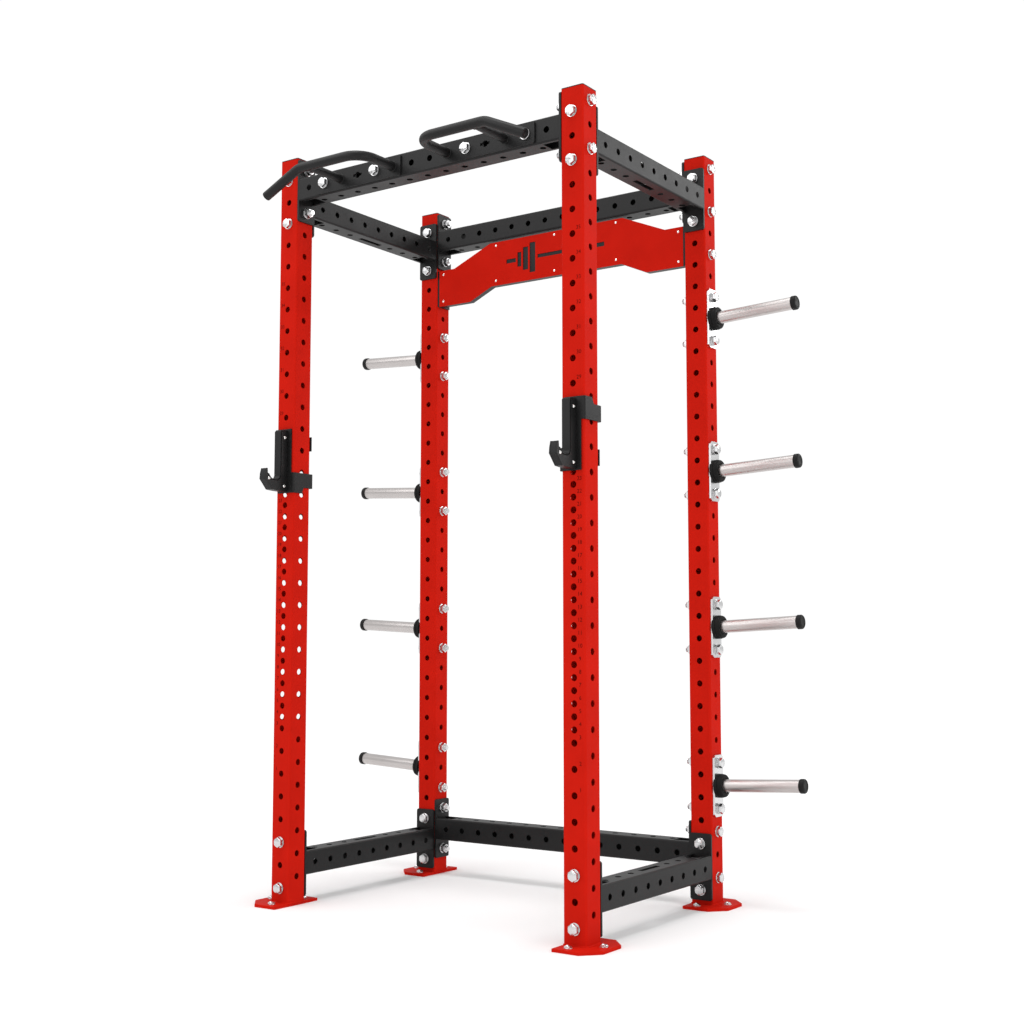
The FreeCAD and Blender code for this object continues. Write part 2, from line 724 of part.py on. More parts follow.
def pull_up_grip(side):
    """A bent tube, its brace and the plate that both are welded to."""
    sign = SIDES[side]
    radius = dim("grip_dia") / 2
    path = rounded_path(grip_corners(sign), [dim("grip_bend"), dim("grip_bend")])
    bar = swept_bar(path, radius)
    tube = doc.addObject("Part::Feature", "grip_tube_" + side)
    tube.Label = "grip_tube_" + side
    tube.Shape = bar.cut(swept_bar(path, radius - dim("grip_wall")))
    keep(tube)

    face = FRONT_Y - HALF - dim("grip_plate_thick")
    brace_x = sign * dim("grip_brace_row") * PITCH
    rod = doc.addObject("Part::Cylinder", "brace_rod_" + side)
    rod.setExpression("Radius", bound("#brace_dia / 2"))
    rod.setExpression("Height", bound("#grip_forward - #grip_plate_thick"))
    rod.Placement = FreeCAD.Placement(V(brace_x, face, level(TOP_ROW)), facing((0, -1, 0)))
    saddle = doc.addObject("Part::Cylinder", "brace_saddle_" + side)
    saddle.setExpression("Radius", bound("#grip_dia / 2"))
    saddle.setExpression("Height", bound("#brace_dia * 4"))
    out = FRONT_Y - HALF - dim("grip_forward")
    start = brace_x - 2 * dim("brace_dia")
    saddle.Placement = FreeCAD.Placement(V(start, out, level(TOP_ROW)), facing((1, 0, 0)))
    brace = subtract("grip_brace_" + side, rod, saddle)
    brace.Label = "grip_brace_" + side
    keep(brace)

    plate = new_body("grip_plate_" + side)
    sketch = new_sketch(plate, "XY_Plane")
    middle = "#grip_plate_in + #grip_plate_long / 2"
    add_outline(sketch, rectangle("#grip_plate_long", "#grip_plate_tall", middle, "0"))
    round_long_edges(plate, pad(plate, sketch, "#grip_plate_thick"), "#plate_corner")
    for holes in GRIP_BOLT_HOLES + (GRIP_KEY_HOLE,):
        hole = new_sketch(plate, "XY_Plane")
        add_circle(hole, ("%f * #pitch" % holes, "0"), "#hole_size")
        cut(plate, hole, "#grip_plate_thick * 3")
    key = new_sketch(plate, "XY_Plane")
    add_outline(key, rectangle("#key_long", "#key_wide", "%f * #pitch" % GRIP_KEY_HOLE, "0"))
    cut(plate, key, "#grip_plate_thick * 3")
    upright_turn = FreeCAD.Rotation(V(1, 0, 0), 90)
    if side == "left":
        upright_turn = upright_turn.multiply(FreeCAD.Rotation(Z_AXIS, 180))
    keep(place(plate, 0, FRONT_Y - HALF, level(TOP_ROW), upright_turn))


def grip_plugs():
    """A shallow plug in each grip's free end."""
    disc = doc.addObject("Part::Cylinder", "grip_plug_blank")
    disc.setExpression("Radius", bound("#grip_dia / 2 - #grip_wall"))
    disc.setExpression("Height", bound("#grip_plug_thick"))
    doc.recompute()
    inset = dim("grip_plug_thick") + dim("grip_plug_inset")
    places = []
    for sign in SIDES.values():
        corners = grip_corners(sign)
        along = (corners[3] - corners[2]).normalize()
        places.append(FreeCAD.Placement(corners[3] - along * inset, FreeCAD.Rotation(Z_AXIS, along)))
    keep(group("grip_plugs", disc.Shape, places))


# ---------------------------------------------------------------- name panel
# The right half of the panel's outline, about the middle of its bolt row.
PANEL_TOP = [("#panel_half", "#panel_shoulder"), ("#panel_slope_end", "#panel_shoulder"),
             ("#panel_peak", "#panel_high")]
PANEL_BOTTOM = [("#panel_arch_half", "#panel_arch"), ("#panel_skirt_half", "#panel_low"),
                ("#panel_half", "#panel_low")]
# The cut-out barbell: bar, then each side's plates, collar and sleeve, as (middle, width, height).
MARK_BAR = (0, 150, 14)
MARK_END = [(98, 26, 115), (130, 24, 88), (158, 18, 56), (196, 44, 16)]
# Screws round the panel, as (half-width, height above the bolt row).
PANEL_SCREWS = [(521.5, 92), (521.5, -15.5), (267, 168), (267, 31)]


def panel_outline(trim=""):
    """Right half from top to bottom, then the left half back up; trim narrows it top and bottom."""
    right = [(x, y + (" - %s" % trim if trim else "")) for x, y in reversed(PANEL_TOP)]
    right += [(x, y + (" + %s" % trim if trim else "")) for x, y in reversed(PANEL_BOTTOM)]
    left = [("-(%s)" % x, y) for x, y in reversed(right)]
    return right + left


def panel_bodies():
    """A red face sheet over a folded tray, between two end brackets."""
    front = REAR_Y - HALF + dim("panel_back")
    upright_turn = FreeCAD.Rotation(V(1, 0, 0), 90)
    face = new_body("name_panel")
    sketch = new_sketch(face, "XY_Plane")
    add_outline(sketch, panel_outline())
    pad(face, sketch, "#panel_thick")
    pictogram(face)
    keep(place(face, 0, front + dim("panel_thick"), level(PANEL_ROW), upright_turn))

    tray = new_body("panel_tray")
    outer = new_sketch(tray, "XY_Plane")
    add_outline(outer, panel_outline())
    pad(tray, outer, "#tray_deep")
    hollow = new_sketch(tray, "XY_Plane")
    add_outline(hollow, panel_outline("#tray_rim"))
    cut(tray, hollow, "2 * (#tray_deep - #panel_thick)")
    keep(place(tray, 0, front + dim("panel_thick") + dim("tray_deep"), level(PANEL_ROW), upright_turn))

    bracket = new_body("bracket_blank")
    side = new_sketch(bracket, "YZ_Plane")
    near = "-#tube_size / 2 + #panel_back"
    add_outline(side, [(near, "#panel_low"), ("#bracket_rear", "#panel_low"),
                       ("#bracket_rear", "#panel_shoulder"), (near, "#panel_shoulder")])
    pad(bracket, side, "#plate_thick")
    hole = new_sketch(bracket, "YZ_Plane")
    add_circle(hole, ("0", "0"), "#hole_size")
    cut(bracket, hole, "#plate_thick * 3")
    flat = FreeCAD.Rotation()
    inner = HALF_WIDTH - HALF - dim("plate_thick")
    places = [FreeCAD.Placement(V(x, REAR_Y, level(PANEL_ROW)), flat)
              for x in (inner, -inner - dim("plate_thick"))]
    keep(group("panel_brackets", bracket.Shape, places))
    panel_screws(front)


def pictogram(face):
    """A barbell cut through the face sheet."""
    shapes = [MARK_BAR]
    for sign in SIDES.values():
        shapes += [(sign * middle, width, height) for middle, width, height in MARK_END]
    for middle, width, height in shapes:
        sketch = new_sketch(face, "XY_Plane")
        add_outline(sketch, rectangle(str(width), str(height), str(middle), "#mark_high"))
        cut(face, sketch, "#panel_thick * 3")


def dome(label, radius, sink):
    """A screw head: the part of a ball that stands more than so far above its middle."""
    ball = doc.addObject("Part::Sphere", label + "_ball")
    ball.Radius = radius
    below = doc.addObject("Part::Box", label + "_below")
    below.Length = below.Width = below.Height = 4 * radius
    below.Placement.Base = V(-2 * radius, -2 * radius, sink - 4 * radius)
    return subtract(label, ball, below)


def panel_screws(front):
    """Dome-headed screws round the panel."""
    sink = dim("screw_sink")
    head = dome("panel_screw_blank", dim("screw_round"), sink)
    spots = [(sign * half, high) for half, high in PANEL_SCREWS for sign in SIDES.values()]
    spots += [(0, high) for half, high in PANEL_SCREWS[2:]]
    places = [FreeCAD.Placement(V(x, front + sink, level(PANEL_ROW) + z), facing((0, -1, 0))) for x, z in spots]
    keep(group("panel_screws", head.Shape, places))


# ---------------------------------------------------------------- J-cups
# The hook's side view: how far it stands forward of its back plate, and height above its pin.
CUP_PROFILE = [(0, -107), (44, -106), (73, -104), (104.5, -70), (102.5, -51), (97, -33), (93.5, -34),
               (86.5, -50), (79, -60), (72, -66), (47, -67), (39, -62), (34.5, -53), (34.5, 98),
               (30, 104), (0, 105)]
LINED_POINTS = range(7, 15)   # places in the list above that a bar can touch
CUP_SCREWS = [(11.5, 79), (13, -89), (86, -67)]


def cup_bracket(label, sign):
    """A back plate with an ear up one side and down the other, each hooked behind the upright.

    The bracket looks the same after half a turn about its pin, so it can be twisted upright
    or level.  Y = 0 is the upright's front face."""
    body = new_body(label)
    back = new_sketch(body, "XZ_Plane", dim("cup_gap"))
    wide = "(#tube_size / 2 + #cup_gap + #cup_sheet)"
    narrow = "(#tube_size / 2 - #cup_inset)"
    tongue = "(#tube_size / 2 - #cup_tongue)"
    a = "" if sign > 0 else "-"
    b = "-" if sign > 0 else ""
    add_outline(back, [(b + wide, "-#cup_half"), (a + narrow, "-#cup_half"),
                       (a + narrow, "#cup_band_low"), (a + wide, "#cup_band_low"),
                       (a + wide, "#cup_half"), (b + narrow, "#cup_half"),
                       (b + narrow, "-#cup_band_low"), (b + wide, "-#cup_band_low")])
    pad(body, back, "#cup_sheet")

    inner_face = sign * (HALF + dim("cup_gap"))
    side = new_sketch(body, "YZ_Plane", min(inner_face, inner_face + sign * dim("cup_sheet")))
    rear = "(#tube_size + #cup_play + #cup_sheet)"
    front = "(-#cup_gap - #cup_sheet)"
    add_outline(side, [(front, "#cup_band_low"), (rear, "#cup_band_low"), (rear, "#cup_band_high"),
                       ("#cup_ear_rear", "#cup_band_high"), ("#cup_ear_front", "#cup_half"),
                       (front, "#cup_half")])
    ear = pad(body, side, "#cup_sheet")
    hook = new_sketch(body, "XZ_Plane", -dim("tube_size") - dim("cup_play"))
    add_outline(hook, [(a + wide, "#cup_band_low"), (a + wide, "#cup_band_high"),
                       (b + tongue, "#cup_band_high"), (b + tongue, "#cup_band_low")])
    flange = pad(body, hook, "#cup_sheet", reverse=True)
    opposite = body.newObject("PartDesign::PolarPattern", "PolarPattern")
    opposite.Originals = [ear, flange]
    opposite.Axis = (origin_part(body, "Y_Axis"), [""])
    opposite.Angle = 360
    opposite.Occurrences = 2
    body.Tip = opposite
    doc.recompute()
    return body


def add_side_view(body, profile, first_x):
    """A side view of the hook, drawn on a plane that stands first_x from the hook's middle."""
    sketch = new_sketch(body, "YZ_Plane", first_x)
    back = "(-#cup_gap - #cup_sheet)"
    add_outline(sketch, [("%s - %f" % (back, out), "%f" % up) for out, up in profile])
    return sketch


def stepped_in(numbers, depth):
    """Points of the hook's outline moved into it, each square to the line between its neighbours."""
    moved = []
    for number in numbers:
        before = CUP_PROFILE[number - 1]
        after = CUP_PROFILE[number + 1]
        along = V(after[0] - before[0], after[1] - before[1], 0).normalize()
        out, up = CUP_PROFILE[number]
        moved.append((out - along.y * depth, up + along.x * depth))
    return moved


def cup_core(label):
    """The plastic core, with a wear strip that is as wide as core and cheeks together."""
    body = new_body(label)
    width = dim("cup_core")
    pad(body, add_side_view(body, CUP_PROFILE, -width / 2), "#cup_core")
    strip = [CUP_PROFILE[number] for number in LINED_POINTS]
    strip += reversed(stepped_in(LINED_POINTS, dim("cup_liner")))
    pad(body, add_side_view(body, strip, -width / 2 - dim("cup_cheek")), "#cup_core + 2 * #cup_cheek")
    return body


def cup_cheek(label):
    """A steel cheek follows the core, but stands back from its wear strip."""
    body = new_body(label)
    profile = list(CUP_PROFILE)
    depth = dim("cup_liner") + dim("cup_groove")
    profile[LINED_POINTS.start:LINED_POINTS.stop] = stepped_in(LINED_POINTS, depth)
    pad(body, add_side_view(body, profile, 0), "#cup_cheek")
    return body


def j_cup(side):
    """Bracket, core, cheeks, screws and pin of one J-cup, on the upright's front face."""
    sign = SIDES[side]
    x = sign * HALF_WIDTH
    y = FRONT_Y - HALF
    z = level(CUP_ROW)
    keep(place(cup_bracket("cup_bracket_" + side, sign), x, y, z))
    keep(place(cup_core("cup_core_" + side), x, y, z))
    cheek = cup_cheek("cheek_blank_" + side)
    flat = FreeCAD.Rotation()
    starts = (dim("cup_core") / 2, -dim("cup_core") / 2 - dim("cup_cheek"))
    keep(group("cup_cheeks_" + side, cheek.Shape, [FreeCAD.Placement(V(x + s, y, z), flat) for s in starts]))

    sink = dim("cup_screw_sink")
    head = dome("cup_screw_blank_" + side, dim("cup_screw_round"), sink)
    face = dim("cup_core") / 2 + dim("cup_cheek") - sink
    back = y - dim("cup_gap") - dim("cup_sheet")
    places = []
    for out, up in CUP_SCREWS:
        for way in (-1, 1):
            places.append(FreeCAD.Placement(V(x + way * face, back - out, z + up), facing((way, 0, 0))))
    keep(group("cup_screws_" + side, head.Shape, places))

    pin = doc.addObject("Part::Cylinder", "cup_pin_" + side)
    pin.Label = "cup_pin_" + side
    pin.setExpression("Radius", bound("#cup_pin_dia / 2"))
    pin.setExpression("Height", bound("#cup_pin_long"))
    pin.Placement = FreeCAD.Placement(V(x, y - dim("cup_gap"), z), facing((0, 1, 0)))
    doc.recompute()
    keep(pin)


# ---------------------------------------------------------------- the whole cage
def build():
    for end in ENDS:
        for side in SIDES:
            keep(upright(side, end))
            keep(floor_plate(side, end))
            keep(upright_cap(side, end))
    blank = end_plate()
    inner_width = dim("cage_width") - dim("tube_size")
    inner_depth = dim("cage_depth") - dim("tube_size")
    crossings = {"top_beam_front": (FRONT_Y, TOP_ROW), "top_beam_rear": (REAR_Y, TOP_ROW),
                 "bottom_beam_rear": (REAR_Y, LOW_TOP_ROW)}
    for label, (y, rows_down) in crossings.items():
        beam = keep(cross_beam(label, y, rows_down))
        keep(beam_end_plates(label, blank, beam, inner_width))
    for side in SIDES:
        for name, rows_down in (("top", SIDE_ROW), ("bottom", LOW_SIDE_ROW)):
            label = "%s_beam_%s" % (name, side)
            beam = keep(side_beam(label, side, rows_down))
            keep(beam_end_plates(label, blank, beam, inner_depth))
    for side in SIDES:
        pull_up_grip(side)
        j_cup(side)
    grip_plugs()
    panel_bodies()
    pegs()
    fasteners()
    anchors()


build()
doc.recompute()
for item in doc.Objects:
    if "Invalid" in item.State or "Error" in item.State:
        raise RuntimeError("%s failed: %s" % (item.Label, item.State))
os.makedirs("parts", exist_ok=True)
for node in nodes:
    shape = node.Shape
    if shape.isNull() or not shape.isValid():
        raise RuntimeError(node.Label + " has no valid shape")
    shape.exportStep("parts/%s.step" % node.Label)
    print("%-28s %3d solids %10.1f cm3" % (node.Label, len(shape.Solids), shape.Volume / 1000))
print(len(nodes), "nodes")
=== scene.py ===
import json
import math
import bmesh
import bpy
import numpy as np
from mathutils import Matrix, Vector


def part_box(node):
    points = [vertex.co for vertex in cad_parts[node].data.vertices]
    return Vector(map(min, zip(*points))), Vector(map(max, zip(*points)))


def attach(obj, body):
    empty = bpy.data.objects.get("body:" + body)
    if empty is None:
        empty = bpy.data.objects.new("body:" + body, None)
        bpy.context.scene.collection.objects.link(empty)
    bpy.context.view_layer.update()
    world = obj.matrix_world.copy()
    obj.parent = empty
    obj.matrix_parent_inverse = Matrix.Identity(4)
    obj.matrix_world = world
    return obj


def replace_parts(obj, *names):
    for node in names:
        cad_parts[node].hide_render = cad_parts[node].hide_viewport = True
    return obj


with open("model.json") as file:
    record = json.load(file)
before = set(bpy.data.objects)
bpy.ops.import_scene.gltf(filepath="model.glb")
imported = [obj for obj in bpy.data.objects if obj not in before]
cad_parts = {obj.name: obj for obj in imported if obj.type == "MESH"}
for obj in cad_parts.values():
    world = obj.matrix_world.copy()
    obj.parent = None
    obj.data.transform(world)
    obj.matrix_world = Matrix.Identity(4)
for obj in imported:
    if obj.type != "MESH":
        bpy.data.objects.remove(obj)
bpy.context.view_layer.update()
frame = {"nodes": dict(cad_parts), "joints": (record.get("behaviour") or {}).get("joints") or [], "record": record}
cadNodes = frame["nodes"]
record = frame["record"]
bodyOf = {node: body for body, members in record["behaviour"]["bodies"].items() for node in members}
slotOf = {row["node"]: row["material_slot"] for row in record["subparts"]}
mountAt = {mount["name"]: mount for mount in record["mounts"]}
jointAt = {joint["name"]: joint["pos_m"] for joint in frame["joints"]}
sides = {"left": -1, "right": 1}
print("frame loaded:", len(cadNodes), "nodes")

# camera, floor and lights
studio = {
    "eye": (2.8514, -3.9282, 0.9023),
    "yaw": 34.973,          # degrees, turned from straight ahead towards -X
    "pitch": 5.005,         # degrees, looking up
    "lens": 50.0,
    "sensor": 36.0,
    "farthest": 200.0,
    "floorSize": 60.0,
    "floorPaint": 0.90,
    "floorRough": 0.9,
    "white": (1.0, 1.0, 1.0, 1.0),
    "skyStrength": 0.80,
    "backdropStrength": 1.02,
    "aim": (0.0, 0.0, 1.2),
    "ceiling": 1.15,        # an even light from overhead
    "ceilingSpread": 26.0,  # degrees
    "ceilingTilt": 9.0,     # degrees from straight down, coming from the front
    "lamps": {              # name: place, size, power
        "rearWall": ((4.2, 5.8, 4.3), 2.4, 85.0),
        "rightWall": ((6.5, -0.8, 2.4), 3.0, 60.0),
        "front": ((-1.0, -6.5, 3.2), 4.0, 55.0),
    },
    "softbox": ((-1.9, -2.3, 4.8), 4.2, 80.0),   # seen only in shiny surfaces
}


def link(thing):
    bpy.context.scene.collection.objects.link(thing)
    return thing


def addCamera():
    data = bpy.data.cameras.new("camera")
    data.lens = studio["lens"]
    data.sensor_width = studio["sensor"]
    data.clip_end = studio["farthest"]
    camera = link(bpy.data.objects.new("camera", data))
    camera.location = studio["eye"]
    camera.rotation_euler = (math.radians(90 + studio["pitch"]), 0, math.radians(studio["yaw"]))
    bpy.context.scene.camera = camera


def addLamp(name, place, size, power):
    data = bpy.data.lights.new(name, "AREA")
    data.shape = "SQUARE"
    data.size = size
    data.energy = power
    lamp = link(bpy.data.objects.new(name, data))
    lamp.location = place
    towards = Vector(studio["aim"]) - Vector(place)
    lamp.rotation_euler = towards.to_track_quat("-Z", "Y").to_euler()
    lamp.visible_camera = False
    return lamp


def addCeiling():
    data = bpy.data.lights.new("ceiling", "SUN")
    data.energy = studio["ceiling"]
    data.angle = math.radians(studio["ceilingSpread"])
    lamp = link(bpy.data.objects.new("ceiling", data))
    lamp.location = (0, 0, 6)
    lamp.rotation_euler = (math.radians(studio["ceilingTilt"]), 0, 0)


def addWorld():
    world = bpy.data.worlds.new("studio")
    world.use_nodes = True
    nodes, links = world.node_tree.nodes, world.node_tree.links
    sky = nodes["Background"]
    sky.inputs["Color"].default_value = studio["white"]
    sky.inputs["Strength"].default_value = studio["skyStrength"]
    backdrop = nodes.new("ShaderNodeBackground")       # what is seen straight behind the cage
    backdrop.inputs["Color"].default_value = studio["white"]
    backdrop.inputs["Strength"].default_value = studio["backdropStrength"]
    path = nodes.new("ShaderNodeLightPath")
    mix = nodes.new("ShaderNodeMixShader")
    links.new(path.outputs["Is Camera Ray"], mix.inputs[0])
    links.new(sky.outputs[0], mix.inputs[1])
    links.new(backdrop.outputs[0], mix.inputs[2])
    links.new(mix.outputs[0], nodes["World Output"].inputs["Surface"])
    bpy.context.scene.world = world
    bpy.context.scene.view_settings.view_transform = "Standard"


def addFloor():
    half = studio["floorSize"] / 2
    mesh = bpy.data.meshes.new("floor")
    corners = [(-half, -half, 0), (half, -half, 0), (half, half, 0), (-half, half, 0)]
    mesh.from_pydata(corners, [], [(0, 1, 2, 3)])
    floor = link(bpy.data.objects.new("floor", mesh))
    pale = bpy.data.materials.new("pale_floor")
    pale.use_nodes = True
    paint = pale.node_tree.nodes["Principled BSDF"]
    paint.inputs["Base Color"].default_value = (*[studio["floorPaint"]] * 3, 1)
    paint.inputs["Roughness"].default_value = studio["floorRough"]
    paint.inputs["Specular IOR Level"].default_value = 0.0
    mesh.materials.append(pale)


# finishes: colour and how much it drifts, gloss and how much it drifts, grain size and its bump in metres
finishes = {
    "red_powder_coat": {
        "colour": (0.54, 0.0115, 0.0050), "shade": 0.06, "rough": 0.45, "roughSpread": 0.06,
        "specular": 0.012, "grain": 950.0, "bump": 0.10, "depth": 0.0002, "metal": 0.0},
    "black_powder_coat": {
        "colour": (0.0085, 0.0083, 0.0085), "shade": 0.12, "rough": 0.43, "roughSpread": 0.06,
        "specular": 0.22, "grain": 1300.0, "bump": 0.30, "depth": 0.0003, "metal": 0.0},
    "zinc": {
        "colour": (0.66, 0.66, 0.665), "shade": 0.06, "rough": 0.26, "roughSpread": 0.08,
        "specular": 0.5, "grain": 420.0, "bump": 0.0, "depth": 0.0002, "metal": 1.0},
    "bright_screws": {
        "colour": (0.88, 0.87, 0.85), "shade": 0.03, "rough": 0.15, "roughSpread": 0.05,
        "specular": 0.5, "grain": 700.0, "bump": 0.02, "depth": 0.0002, "metal": 1.0},
    "polished_sleeve": {
        "colour": (0.52, 0.49, 0.48), "shade": 0.04, "rough": 0.33, "roughSpread": 0.03,
        "specular": 0.5, "grain": 40.0, "bump": 0.05, "depth": 0.0001, "metal": 1.0, "turned": 12.0},
    "black_plastic": {
        "colour": (0.007, 0.007, 0.007), "shade": 0.08, "rough": 0.52, "roughSpread": 0.05,
        "specular": 0.18, "grain": 900.0, "bump": 0.06, "depth": 0.0002, "metal": 0.0},
    "hook_liner": {
        "colour": (0.012, 0.012, 0.0125), "shade": 0.08, "rough": 0.46, "roughSpread": 0.06,
        "specular": 0.20, "grain": 700.0, "bump": 0.06, "depth": 0.0002, "metal": 0.0},
    "collar_rubber": {
        "colour": (0.006, 0.006, 0.006), "shade": 0.12, "rough": 0.64, "roughSpread": 0.06,
        "specular": 0.14, "grain": 800.0, "bump": 0.12, "depth": 0.0003, "metal": 0.0},
    "row_ink": {
        "colour": (0.085, 0.003, 0.002), "shade": 0.10, "rough": 0.55, "roughSpread": 0.05,
        "specular": 0.02, "grain": 900.0, "bump": 0.05, "depth": 0.0001, "metal": 0.0},
}
drift = {"scale": 9.0, "detail": 4.0, "stops": (0.3, 0.7), "grainDetail": 2.0}
materials = {}


def makeFinish(name):
    look = finishes[name]
    material = bpy.data.materials.new(name)
    material.use_nodes = True
    nodes, links = material.node_tree.nodes, material.node_tree.links
    shader = nodes["Principled BSDF"]
    shader.inputs["Metallic"].default_value = look["metal"]
    shader.inputs["Specular IOR Level"].default_value = look["specular"]
    place = nodes.new("ShaderNodeTexCoord").outputs["Object"]
    cloud = nodes.new("ShaderNodeTexNoise")            # broad drift of colour and gloss
    cloud.inputs["Scale"].default_value = drift["scale"]
    cloud.inputs["Detail"].default_value = drift["detail"]
    links.new(place, cloud.inputs["Vector"])
    ramp = nodes.new("ShaderNodeValToRGB")
    shares = (1 - look["shade"], 1 + look["shade"])
    for stop, at, share in zip(ramp.color_ramp.elements, drift["stops"], shares):
        stop.position = at
        stop.color = (*[min(c * share, 1.0) for c in look["colour"]], 1)
    links.new(cloud.outputs["Fac"], ramp.inputs["Fac"])
    links.new(ramp.outputs["Color"], shader.inputs["Base Color"])
    grain = nodes.new("ShaderNodeTexNoise")            # the finish's own texture
    grain.inputs["Scale"].default_value = look["grain"]
    grain.inputs["Detail"].default_value = drift["grainDetail"]
    if "turned" in look:                               # fine rings left by the lathe
        own = nodes.new("ShaderNodeAttribute")
        own.attribute_name = "ownPlace"
        stretch = nodes.new("ShaderNodeMapping")
        stretch.inputs["Scale"].default_value = (1, 1, look["turned"])
        links.new(own.outputs["Vector"], stretch.inputs["Vector"])
        links.new(stretch.outputs["Vector"], grain.inputs["Vector"])
    else:
        links.new(place, grain.inputs["Vector"])
    gloss = nodes.new("ShaderNodeMapRange")
    gloss.inputs["To Min"].default_value = look["rough"] - look["roughSpread"]
    gloss.inputs["To Max"].default_value = look["rough"] + look["roughSpread"]
    links.new(cloud.outputs["Fac"], gloss.inputs["Value"])
    links.new(gloss.outputs["Result"], shader.inputs["Roughness"])
    bump = nodes.new("ShaderNodeBump")
    bump.inputs["Strength"].default_value = look["bump"]
    bump.inputs["Distance"].default_value = look["depth"]
    links.new(grain.outputs["Fac"], bump.inputs["Height"])
    links.new(bump.outputs["Normal"], shader.inputs["Normal"])
    return material


def finishFor(name):
    if name not in materials:
        materials[name] = makeFinish(name)
    return materials[name]


# surfaces as whole arrays
def gridFaces(rows, columns, wrapRows=False, wrapColumns=True):
    # quads between neighbouring points of a grid whose points are numbered row by row
    i = np.arange(rows if wrapRows else rows - 1)[:, None]
    j = np.arange(columns if wrapColumns else columns - 1)[None, :]
    below, beside = (i + 1) % rows, (j + 1) % columns
    corners = (i * columns + j, i * columns + beside, below * columns + beside, below * columns + j)
    return np.stack(np.broadcast_arrays(*corners), -1).reshape(-1, 4)


def aroundAxis(radius, height, wrapRows=False):
    # x = r cos a, y = r sin a, z = h, for radii and heights on a grid of rows and angles
    radius, height = np.broadcast_arrays(radius, height)
    angle = np.arange(radius.shape[1]) * 2 * math.pi / radius.shape[1]
    points = np.stack((radius * np.cos(angle), radius * np.sin(angle), height), -1)
    return points.reshape(-1, 3), gridFaces(*radius.shape, wrapRows)


def turned(profile, columns, wrapRows=False):
    # a profile of (radius, height) pairs carried round the z axis
    profile = np.array(profile, float)
    spread = np.ones((1, columns))
    return aroundAxis(profile[:, :1] * spread, profile[:, 1:] * spread, wrapRows)


def joined(*shapes):
    # several shapes as one set of points and faces
    starts = np.cumsum([0] + [len(points) for points, faces in shapes[:-1]])
    return (np.concatenate([points for points, faces in shapes]),
            np.concatenate([faces + start for (points, faces), start in zip(shapes, starts)]))


def copies(shape, places):
    # one shape at every place: a turn, whose third column is the shape's z axis, and an origin
    points, faces = shape
    turns = np.array([turn for turn, origin in places])
    origins = np.array([origin for turn, origin in places])
    moved = np.einsum("kij,nj->kni", turns, points) + origins[:, None, :]
    numbered = faces[None] + (np.arange(len(places)) * len(points))[:, None, None]
    return moved.reshape(-1, 3), numbered.reshape(-1, 4), np.tile(points, (len(places), 1))


def turnTo(direction):
    # the turn that takes z to a direction; x stays level unless the direction is steep
    z = np.array(direction, float) / np.linalg.norm(direction)
    steep = abs(z[2]) >= 0.7
    flat = np.array((1.0, 0.0, 0.0)) if steep else np.array((0.0, 0.0, 1.0))
    x = np.cross(flat, z)
    x /= np.linalg.norm(x)
    return np.stack((x, np.cross(z, x), z), -1)


same = 1e-6                 # points closer than this are one point


def weld(mesh, slivers=False):
    # doubles merged, flat slivers dissolved if asked, normals outward
    work = bmesh.new()
    work.from_mesh(mesh)
    bmesh.ops.remove_doubles(work, verts=work.verts, dist=same)
    if slivers:
        bmesh.ops.dissolve_degenerate(work, dist=same, edges=work.edges)
    bmesh.ops.recalc_face_normals(work, faces=work.faces)
    work.to_mesh(mesh)
    work.free()


def addPiece(name, shape, node, sharp=35.0):
    # a closed shell from points and quads, riding with its node; copies keep each point's own place
    mesh = bpy.data.meshes.new(name)
    mesh.from_pydata(shape[0], [], shape[1])
    if len(shape) > 2:
        own = mesh.attributes.new("ownPlace", "FLOAT_VECTOR", "POINT")
        own.data.foreach_set("vector", shape[2].astype(np.float32).ravel())
    weld(mesh)
    mesh.shade_smooth()
    mesh.set_sharp_from_angle(angle=math.radians(sharp))
    piece = link(bpy.data.objects.new(name, mesh))
    dress(piece, node)
    return piece


def dress(piece, node, finish=None):
    piece.data.materials.clear()
    piece.data.materials.append(finishFor(finish or slotOf[node]))
    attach(piece, bodyOf[node])


def solidsOf(node):
    # the corner points of each separate solid of a node: shared corners pass on their lowest number
    mesh = cadNodes[node].data
    points = np.empty(len(mesh.vertices) * 3, np.float32)
    mesh.vertices.foreach_get("co", points)
    corners = np.empty(len(mesh.loops), np.int32)
    mesh.loops.foreach_get("vertex_index", corners)
    points = np.round(points.reshape(-1, 3).astype(float), 5)
    unique, number = np.unique(points, axis=0, return_inverse=True)
    triangles = number.ravel()[corners].reshape(-1, 3)
    label = np.arange(len(unique))
    while True:
        lowest = label.copy()
        np.minimum.at(lowest, triangles.ravel(), np.repeat(label[triangles].min(1), 3))
        lowest = lowest[lowest]
        if (lowest == label).all():
            break
        label = lowest
    return [unique[label == each] for each in np.unique(label)]


# sheet and tube pieces: each CAD shape with its cut edges eased
edges = {                   # words in the node's name, the first that fits: edge radius, steps
    "upright_cap": (0.0009, 2),
    "upright": (0.0007, 2),
    "floor_plate": (0.0013, 2),
    "end_plates": (0.0011, 2),
    "beam": (0.0007, 2),
    "grip_plate": (0.0010, 2),
    "grip_brace": (0.0005, 2),
    "grip_plugs": (0.0010, 2),
    "name_panel": (0.0005, 2),
    "panel": (0.0008, 2),
    "peg_plates": (0.0010, 2),
    "cup_core": (0.0010, 2),
    "cup_cheeks": (0.0013, 2),
    "cup_pin": (0.0012, 2),
    "flatAngle": 0.6,       # degrees between triangles of one flat face
    "edgeAngle": 38.0,      # degrees from which an edge is eased
}


